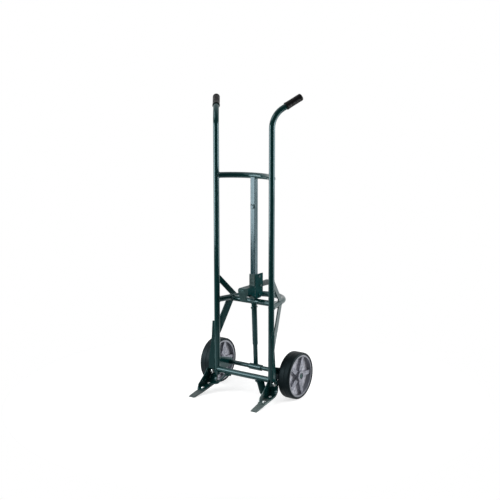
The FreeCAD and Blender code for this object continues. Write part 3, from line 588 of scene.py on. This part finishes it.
# How high each bracket's weld to its rail runs, on its inner face and on its outer one.
BRACKET_WELDS = {-1: (0.134, 0.182), 1: (0.104, 0.182)}
BRACKET_HALF = 0.004
BRACKET_WELD_Y = RAIL_Y + sqrt(TUBE_R ** 2 - BRACKET_HALF ** 2)
for side_name, side in SIDES.items():
    eased(side_name + "_axle_bracket", SHEARED_EDGE, enamel, "frame")
    dress(zinc, side_name + "_axle_washer", side_name + "_retaining_ring")
    for face, heights in BRACKET_WELDS.items():
        x = side * (RAIL_X + face * BRACKET_HALF)
        frame_seams.append([Vector((x, BRACKET_WELD_Y, z)) for z in heights])

# Wheels: a cast aluminium centre with spokes, turned true on its rim, a bronze bush in its bore,
# and a solid black tread moulded on, which has a fine parting line and a groove beside the rim.
# The pockets carry painted light: a pale, non-metallic colour that lifts the shade in them.
WHEEL_X = 0.2598
RIM_INNER_R = 0.1045
POCKET_TO_FACE = (0.0080, 0.0220)
TURNING_PITCH = 0.0009
CAST_EDGE = 0.0014
CAST_DULL = (0.11, 0.115, 0.135, 1)
CAST_PALE = (0.30, 0.31, 0.355, 1)
CAST_POCKET_PAINTED_LIGHT = (0.42, 0.425, 0.475, 1)
CAST_TURNED = (0.22, 0.23, 0.255, 1)
casting = Finish("cast_aluminium", {})
from_axle = casting.vector("SUBTRACT", casting.place, (0, AXLE_Y, AXLE_Z))
from_axle = casting.vector("MULTIPLY", from_axle, (0, 1, 1))
radius = casting.vector("LENGTH", from_axle, (0, 0, 0), "Value")
raised = casting.steps(abs(abs(casting.along("X")) - WHEEL_X), *POCKET_TO_FACE)
machined = radius > RIM_INNER_R
sand = casting.noise(scale=130.0, detail=5.0)
blotch = casting.steps(casting.noise(scale=95.0, detail=5.0), low=0.36, high=0.64)
grooves = casting.maths("SINE", radius * (2 * pi / TURNING_PITCH))
cast = casting.mix(blotch, CAST_DULL, CAST_PALE)
# Painted light: in the pockets, where raised is 0, a pale colour and no metal lift the shade.
cast = casting.mix(raised, casting.mix(0.75 - blotch * 0.75, CAST_POCKET_PAINTED_LIGHT, cast), cast)
casting.finish(
    Base_Color=casting.mix(machined, cast, CAST_TURNED),
    Metallic=raised * 0.85,
    Roughness=0.46 + blotch * 0.15 - machined * 0.1,
    Normal=casting.bump(sand * (1 - machined) + grooves * machined * 0.05, distance=0.0006),
)
BRONZE_DARK = (0.36, 0.23, 0.10, 1)
BRONZE_PALE = (0.55, 0.38, 0.20, 1)
bronze = Finish("bush_bronze", {"Metallic": 1.0})
turning = bronze.noise(scale=300.0, detail=2.0)
bronze.finish(
    Base_Color=bronze.mix(turning, BRONZE_DARK, BRONZE_PALE),
    Roughness=0.3 + turning * 0.1,
)
TREAD_DARK = (0.0020, 0.0044, 0.0052, 1)
TREAD_DUSTY = (0.0060, 0.0092, 0.0110, 1)
TREAD_SHEEN = (0.6, 0.9, 1.0, 1)
tread = Finish("tread_rubber", {"Specular IOR Level": 0.12, "Specular Tint": TREAD_SHEEN})
bloom = tread.noise(scale=30.0, detail=4.0)
grit = tread.noise(scale=700.0, detail=2.0)
tread.finish(
    Base_Color=tread.mix(bloom, TREAD_DARK, TREAD_DUSTY),
    Roughness=0.36 + bloom * 0.2,
    Normal=tread.bump(grit, distance=0.00012),
)
TREAD_R = 0.127
TREAD_HALF = 0.035
TREAD_CROWN = 0.0006
TREAD_SHOULDER = 0.009
TREAD_STEPS = 128
TREAD_CREASE = radians(40)
SHOULDER_STEPS = 8
# Depth below the tread and distance from its middle, over the parting line.
PARTING_LINE = ((0, 0), (0.0002, 0.0005), (0.0003, 0.009))
# Radius and depth below the tread's side, in the groove and at the bore.
RIM_GROOVE = ((0.1165, 0), (0.1161, 0.0006), (0.1154, 0.0006), (0.1150, 0))
TREAD_LIP = ((0.1145, 0.0001), (0.1141, 0.0006))
tread_rings = [(TREAD_R - depth, x) for depth, x in PARTING_LINE]
for k in range(SHOULDER_STEPS + 1):
    bend = pi / 2 * (1 - k / SHOULDER_STEPS)
    ring_r = TREAD_R - TREAD_CROWN - TREAD_SHOULDER * (1 - sin(bend))
    tread_rings.append((ring_r, TREAD_HALF - TREAD_SHOULDER * (1 - cos(bend))))
tread_rings += [(r, TREAD_HALF - depth) for r, depth in RIM_GROOVE + TREAD_LIP]
tread_rings = [(r, -x) for r, x in reversed(tread_rings[1:])] + tread_rings
for side_name, side in SIDES.items():
    wheel_body = side_name + "_wheel"
    eased(side_name + "_wheel_centre", CAST_EDGE, casting, wheel_body)
    dress(bronze, side_name + "_wheel_bush")
    tyre = new_piece(side_name + "_tyre_moulded", turned(tread_rings, TREAD_STEPS))
    onto_axle = Matrix.Translation((side * WHEEL_X, AXLE_Y, AXLE_Z))
    tyre.data.transform(onto_axle @ Matrix.Rotation(pi / 2, 4, "Y"))
    crisp(tyre.data, TREAD_CREASE)
    stand_in(tyre, tread, wheel_body, side_name + "_tyre")

# Toes: a thick plate bent into a shoe beside each rail, with a fin welded up the rail,
# a steel prong bolted under it and a strap that braces it to the bottom crossbar.
# Both shoes have a cheek welded along their left edge; the right one's front has painted light.
BLADE_DARK = (0.026, 0.040, 0.041, 1)
BLADE_PALE = (0.130, 0.172, 0.168, 1)
SHOE_PAINTED_LIGHT_Y = (-0.108, -0.128)


def rightward(finish):
    """0 on the left toe and 1 on the right one."""
    return finish.steps(finish.along("X"), -RAIL_X, RAIL_X)


def right_shoe_painted_light(coat):
    """Painted light on the front of the right shoe, as patches of the pale steel colour."""
    return front_wear_and_painted_light(coat, SHOE_PAINTED_LIGHT_Y, least=0.60, patchy=0.5, scale=70.0) * rightward(coat)


# The right shoe's front is patched with the pale steel colour, as painted light.
shoe_enamel = enamelled("shoe_enamel", gloss=0.35, chips=0.05, rubbed=right_shoe_painted_light)
blade = Finish("blade_steel", {"Metallic": 0.6})
scuff = blade.steps(blade.noise(scale=55.0, detail=6.0), low=0.35, high=0.7)
# The blade is paler where scuffed, and the right blade is paler than the left all over.
blade.finish(
    Base_Color=blade.mix(scuff * 0.4 + rightward(blade) * 0.6, BLADE_DARK, BLADE_PALE),
    Roughness=0.36 + scuff * 0.15,
    Normal=blade.bump(scuff, distance=0.00008),
)
SHOE_EDGE = 0.0011
PRONG_EDGE = 0.0008
CHEEK_T = 0.0045
CHEEK_X = {"left": -0.2258, "right": 0.1818}
# Corners of (y, z): down the cheek's front, back along the shoe's bend, and up its back,
# which on the right is cut forward to its rail.
CHEEK_FRONT = ((-0.0725, 0.117), (-0.1025, 0.083), (-0.1505, 0.046), (-0.1595, 0.0205))
CHEEK_FOOT = ((-0.0753, 0.0373), (-0.0635, 0.0417), (-0.0556, 0.0477), (-0.0496, 0.0556))
CHEEK_HEEL = ((-0.0445, 0.0746), (-0.0445, 0.083))
CHEEK_BACK_Y = {"left": -0.0445, "right": -0.0570}
CHEEK_BACK_Z = (0.084, 0.121)


def plate(name, outline, x, thickness):
    """Piece cut from plate: an outline of (y, z) corners, a thickness to the left of x."""
    shape = bmesh.new()
    right = [shape.verts.new((x, y, z)) for y, z in outline]
    left = [shape.verts.new((x - thickness, y, z)) for y, z in outline]
    shape.faces.new(right)
    shape.faces.new(left)
    for k in range(len(outline)):
        shape.faces.new((right[k - 1], right[k], left[k], left[k - 1]))
    bmesh.ops.recalc_face_normals(shape, faces=shape.faces)
    mesh = bpy.data.meshes.new(name)
    shape.to_mesh(mesh)
    shape.free()
    return new_piece(name, mesh)


FIN_SWEEP = radians(27)
FIN_HALF = 0.0025
FIN_ROOT = sqrt(TUBE_R ** 2 - FIN_HALF ** 2)
FIN_STITCHES = ((0.168, 0.212), (0.252, 0.294), (0.338, 0.383))
SHOE_FACE_Y = -0.007
SHOE_WELD_X = RAIL_X + sqrt(TUBE_R ** 2 - SHOE_FACE_Y ** 2)
SHOE_WELD_Z = (0.087, 0.113)
STRAP_X = 0.104
STRAP_HALF = 0.018
STRAP_WELD_Y = 0.006
STRAP_WELD_Z = BOTTOM_BAR_Z - sqrt(TUBE_R ** 2 - STRAP_WELD_Y ** 2)
HEEL_BOLT_X = 0.2063
HEEL_BOLT_Z = 0.097
HEEL_SEATS = (-0.0495, -0.0385)
TOE_BOLT_X = 0.2038
TOE_BOLTS = ((-0.0865, 0.03507), (-0.14245, 0.02420))
TOE_SLOPE = radians(11)
SHOE_T = 0.005
PRONG_T = 0.006
toe_up = Vector((0, -sin(TOE_SLOPE), cos(TOE_SLOPE)))
heel_heads = []
heel_backs = []
toe_heads = []
toe_backs = []
for side_name, side in SIDES.items():
    eased(side_name + "_toe_shoe", SHOE_EDGE, shoe_enamel, "frame")
    eased(side_name + "_toe_prong", PRONG_EDGE, blade, "frame")
    eased(side_name + "_toe_gusset", SHEARED_EDGE, enamel, "frame")
    cheek_back = [(CHEEK_BACK_Y[side_name], z) for z in CHEEK_BACK_Z]
    cheek_outline = [*CHEEK_FRONT, *CHEEK_FOOT, *CHEEK_HEEL, *cheek_back]
    cheek = plate(side_name + "_toe_cheek", cheek_outline, CHEEK_X[side_name], CHEEK_T)
    round_over(cheek, SHEARED_EDGE)
    cheek.data.materials.append(shoe_enamel.material)
    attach(cheek, "frame")
    axis = Vector((side * RAIL_X, RAIL_Y, 0))
    fin = Vector((side * cos(FIN_SWEEP), -sin(FIN_SWEEP), 0))
    for face in (-FIN_HALF, FIN_HALF):
        root = axis + fin * FIN_ROOT + fin.cross(UP) * face
        frame_seams += [[root + UP * z for z in stitch] for stitch in FIN_STITCHES]
    frame_seams.append([Vector((side * SHOE_WELD_X, RAIL_Y + SHOE_FACE_Y, z)) for z in SHOE_WELD_Z])
    for edge in (-STRAP_WELD_Y, STRAP_WELD_Y):
        ends = (side * STRAP_X - STRAP_HALF, side * STRAP_X + STRAP_HALF)
        frame_seams.append([Vector((x, RAIL_Y + edge, STRAP_WELD_Z)) for x in ends])
    head_seat, nut_seat = [Vector((side * HEEL_BOLT_X, y, HEEL_BOLT_Z)) for y in HEEL_SEATS]
    heel_heads.append((head_seat, FRONT))
    heel_backs.append((nut_seat, -FRONT))
    for y, z in TOE_BOLTS:
        joint = Vector((side * TOE_BOLT_X, y, z))
        toe_heads.append((joint + toe_up * SHOE_T, toe_up))
        toe_backs.append((joint - toe_up * PRONG_T, -toe_up))
HEEL_BOLT_D = 0.014
HEEL_BOLT_END = -0.025
HEEL_THREAD = -0.014
WASHER_R = 0.012
WASHER_T = 0.003
WASHER_EASE = WASHER_T * 0.2
heel_rings = threaded_rings(HEEL_BOLT_D, HEEL_BOLT_END, HEEL_THREAD)
heel_rings += [(WASHER_R, 0), (WASHER_R, WASHER_T - WASHER_EASE)]
heel_rings.append((WASHER_R - WASHER_EASE, WASHER_T))
heel_rings += hex_rings(HEEL_BOLT_D, WASHER_T) + [(0, WASHER_T + HEEL_BOLT_D * HEX_HEIGHT)]
fasten("heel_bolts", turned(heel_rings), heel_heads, zinc)
fasten("heel_nuts", hex_nut(HEEL_BOLT_D), heel_backs, zinc)
TOE_BOLT_D = 0.010
TOE_BOLT_END = -0.0172
TOE_THREAD = -0.011
DOME_R = 0.010
DOME_H = 0.005
DOME_STEPS = 6
ball_r = (DOME_R ** 2 + DOME_H ** 2) / (2 * DOME_H)
toe_rings = threaded_rings(TOE_BOLT_D, TOE_BOLT_END, TOE_THREAD)
for k in range(DOME_STEPS):
    ring_r = DOME_R * (1 - k / DOME_STEPS)
    toe_rings.append((ring_r, sqrt(ball_r ** 2 - ring_r ** 2) - ball_r + DOME_H))
toe_rings.append((0, DOME_H))
fasten("toe_bolts", turned(toe_rings), toe_heads, zinc)
fasten("toe_nuts", hex_nut(TOE_BOLT_D), toe_backs, zinc)

# Welds: rippled beads that were run by hand round every joint of the frame and the hook,
# before the enamel went on over them.
BEAD_INPUTS = {"Radius": 0.0024, "Pitch": 0.0030, "Ripple": 0.10, "Finish": enamel.material}
BEAD_SIDES = 8
BEAD_STEPS = 4
BEAD_TIP = 0.3
BEAD_TAPER = 25
BEAD_CREASE = radians(60)
beading = Nodes(bpy.data.node_groups.new("weld_beads", "GeometryNodeTree"))
beading_ids, given = tree_inputs(
    beading, Seams="NodeSocketGeometry", Radius="NodeSocketFloat", Pitch="NodeSocketFloat",
    Ripple="NodeSocketFloat", Finish="NodeSocketMaterial",
)
run = beading.add("GeometryNodeMeshToCurve", {}, {"Mesh": given["Seams"]})
run_sockets = {"Curve": run, "Length": given["Pitch"] / BEAD_STEPS}
run = beading.add("GeometryNodeResampleCurve", {"mode": "LENGTH"}, run_sockets)
length = beading.add("GeometryNodeSplineParameter", {}, {}, "Length")
share = beading.add("GeometryNodeSplineParameter", {}, {}, "Factor")
wave = beading.maths("SINE", length * (2 * pi) / given["Pitch"])
taper = beading.maths("MINIMUM", 1.0, BEAD_TIP + share * (1 - share) * BEAD_TAPER)
swell = given["Radius"] * taper * (1 + given["Ripple"] * wave)
ring_sockets = {"Resolution": BEAD_SIDES, "Radius": 1.0}
ring = beading.add("GeometryNodeCurvePrimitiveCircle", {}, ring_sockets)
bead_sockets = {"Curve": run, "Profile Curve": ring, "Scale": swell, "Fill Caps": True}
tree_output(beading, beading.add("GeometryNodeCurveToMesh", {}, bead_sockets), given["Finish"])


def weld(name, seams, body):
    """Lay a bead along every seam, as one mesh that rides on a body."""
    points = []
    edges = []
    for seam in seams:
        edges += [(len(points) + k, len(points) + k + 1) for k in range(len(seam) - 1)]
        points += seam
    lines = bpy.data.meshes.new(name)
    lines.from_pydata(points, edges, [])
    beads = new_piece(name, lines)
    layer = beads.modifiers.new("beading", "NODES")
    layer.node_group = beading.tree
    for label, value in BEAD_INPUTS.items():
        layer[beading_ids[label]] = value
    settle(beads)
    crisp(beads.data, BEAD_CREASE)
    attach(beads, body)


weld("frame_welds", frame_seams, "frame")
weld("hook_welds", hook_seams, "hook")

# Grips: soft black vinyl sleeves pushed over the handle ends.
# They are dip moulded, with a thick mouth, shallow ribs and a rounded, closed end.
VINYL_DARK = (0.0040, 0.0040, 0.0045, 1)
VINYL_RUBBED = (0.0085, 0.0090, 0.0095, 1)
vinyl = Finish("grip_vinyl", {"Specular IOR Level": 0.15})
pores = vinyl.noise(scale=600.0, detail=2.0)
rub = vinyl.noise(scale=40.0, detail=3.0)
vinyl.finish(
    Base_Color=vinyl.mix(rub, VINYL_DARK, VINYL_RUBBED),
    Roughness=0.30 + rub * 0.16,
    Normal=vinyl.bump(pores, distance=0.0001),
)
GRIP_BORE = 0.0161
GRIP_DEPTH = 0.094
GRIP_R = 0.0193
# Radius and height up the grip, round its thick mouth.
GRIP_MOUTH = (
    (0.0191, 0.0), (0.0200, 0.0004), (0.0203, 0.0012),
    (0.0203, 0.0070), (0.0200, 0.0082), (GRIP_R, 0.0160),
)
GRIP_RIBS = 12
RIB_START = 0.024
RIB_PITCH = 0.0052
# Depth below the grip and height, across the dip between two ribs.
RIB_DIP = ((0, 0), (0.0003, 0.0006), (0.0003, 0.0014), (0, 0.0020))
GRIP_LENGTH = 0.099
GRIP_CROWN = 0.0006
GRIP_END_R = 0.007
GRIP_END_STEPS = 6
GRIP_CREASE = radians(50)
grip_rings = [(0, GRIP_DEPTH), (GRIP_BORE, GRIP_DEPTH), (GRIP_BORE, 0.0), *GRIP_MOUTH]
for k in range(GRIP_RIBS):
    grip_rings += [(GRIP_R - depth, RIB_START + k * RIB_PITCH + up) for depth, up in RIB_DIP]
for k in range(GRIP_END_STEPS + 1):
    bend = pi / 2 * k / GRIP_END_STEPS
    ring_r = GRIP_R - GRIP_END_R * (1 - cos(bend))
    grip_rings.append((ring_r, GRIP_LENGTH - GRIP_END_R * (1 - sin(bend))))
grip_rings.append((0, GRIP_LENGTH + GRIP_CROWN))
HANDLE_SPLAY = radians(36)
HANDLE_TURN = radians(60)
HANDLE_BEND_Z = 1.445
HANDLE_BEND_R = 0.118
HANDLE_SETBACK = HANDLE_BEND_R * tan(HANDLE_TURN / 2)
HANDLE_END = 0.112
GRIP_PLAY = 0.0001
for side_name, side in SIDES.items():
    flare = Vector((side * sin(HANDLE_SPLAY), cos(HANDLE_SPLAY), 0))
    handle = flare * sin(HANDLE_TURN) + UP * cos(HANDLE_TURN)
    bend_corner = Vector((side * RAIL_X, RAIL_Y, HANDLE_BEND_Z + HANDLE_SETBACK))
    mouth = bend_corner + handle * (HANDLE_SETBACK + HANDLE_END - GRIP_DEPTH + GRIP_PLAY)
    grip = new_piece(side_name + "_grip_moulded", turned(grip_rings))
    onto_handle = UP.rotation_difference(handle).to_matrix().to_4x4()
    grip.data.transform(Matrix.Translation(mouth) @ onto_handle)
    crisp(grip.data, GRIP_CREASE)
    stand_in(grip, vinyl, "frame", side_name + "_grip")

# Studio: a small pale floor that runs out into a white surround, lit by soft panels
# in front to the left, behind to the right and overhead. The surround is white behind
# the trolley and falls off to a dim room on the camera's side.
FLOOR_R = 1.3
FLOOR_STEPS = 96
FLOOR_PALE = (0.60, 0.60, 0.60, 1)
FLOOR_GLOW = (0.64, 0.64, 0.64, 1)
FLOOR_FADE = (-0.50, 0.10)
CAMERA_AT = Vector((2.8146, -3.9951, 1.6448))
CAMERA_TURN = radians(35.05)
CAMERA_DOWN = radians(9.87)
CAMERA_LENS = 66.7
CAMERA_SENSOR = 36.0
AWAY = (-sin(CAMERA_TURN), cos(CAMERA_TURN), 0.35)
ROOM_FILL = 0.30
ROOM_DIM = 0.05
ROOM_FADE = (-0.40, 0.40)
floor = new_piece("floor", bpy.data.meshes.new("floor"))
disc = bmesh.new()
bmesh.ops.create_circle(disc, cap_ends=True, segments=FLOOR_STEPS, radius=FLOOR_R)
disc.to_mesh(floor.data)
disc.free()


def rays(owner, *kinds):
    """Whether a ray is of one kind or another, for each kind."""
    return [owner.add("ShaderNodeLightPath", {}, {}, "Is " + kind + " Ray") for kind in kinds]


def shown(owner, place, fade):
    """How far a ray shows the white surround.

    The camera's rays show it everywhere, and what gloss and glass send on does behind the trolley.
    """
    seen, glossy, through = rays(owner, "Camera", "Glossy", "Transmission")
    behind = owner.vector("DOT_PRODUCT", place, AWAY, "Value")
    return seen + (glossy + through) * (ROOM_DIM + (1 - ROOM_DIM) * owner.steps(behind, *fade))


pale = Finish("pale_floor", {"Roughness": 0.9, "Base Color": FLOOR_PALE, "Emission Strength": 1.0})
pale.finish(Emission_Color=pale.mix(shown(pale, pale.place, FLOOR_FADE), (0, 0, 0, 1), FLOOR_GLOW))
floor.data.materials.append(pale.material)

world = bpy.data.worlds.new("studio")
bpy.context.scene.world = world
world.use_nodes = True
world.node_tree.nodes.clear()
room = Nodes(world.node_tree)
outward = room.add("ShaderNodeTexCoord", {}, {}, "Generated")
diffuse, shadow = rays(room, "Diffuse", "Shadow")
strength = shown(room, outward, ROOM_FADE) + (diffuse + shadow) * ROOM_FILL
surround = room.add("ShaderNodeBackground", {}, {"Color": (1, 1, 1, 1), "Strength": strength})
room.add("ShaderNodeOutputWorld", {}, {"Surface": surround})
LIGHT_AIM = Vector((0, 0, 0.75))


def soft_panel(name, turn, distance, height, size, glow):
    """A soft panel that faces the trolley, at a turn in degrees to the right of the load side."""
    light = bpy.data.lights.new(name, "AREA")
    light.shape = "RECTANGLE"
    light.size, light.size_y = size
    light.energy = glow * pi * size[0] * size[1]
    lamp = bpy.data.objects.new(name, light)
    bpy.context.scene.collection.objects.link(lamp)
    lamp.location = (distance * sin(radians(turn)), -distance * cos(radians(turn)), height)
    lamp.rotation_euler = (LIGHT_AIM - lamp.location).to_track_quat("-Z", "Y").to_euler()


soft_panel("left_panel", turn=-46, distance=2.6, height=1.10, size=(2.1, 1.4), glow=8.0)
soft_panel("right_panel", turn=120, distance=2.6, height=1.35, size=(2.2, 1.1), glow=8.0)
soft_panel("right_low_panel", turn=120, distance=2.6, height=0.43, size=(2.2, 0.65), glow=4.0)
soft_panel("top_panel", turn=-40, distance=2.0, height=2.9, size=(1.8, 1.0), glow=3.0)

camera_data = bpy.data.cameras.new("camera")
camera_data.lens = CAMERA_LENS
camera_data.sensor_width = CAMERA_SENSOR
camera = bpy.data.objects.new("camera", camera_data)
bpy.context.scene.collection.objects.link(camera)
camera.location = CAMERA_AT
camera.rotation_euler = (pi / 2 - CAMERA_DOWN, 0, CAMERA_TURN)
bpy.context.scene.camera = camera
bpy.context.scene.view_settings.view_transform = "Standard"
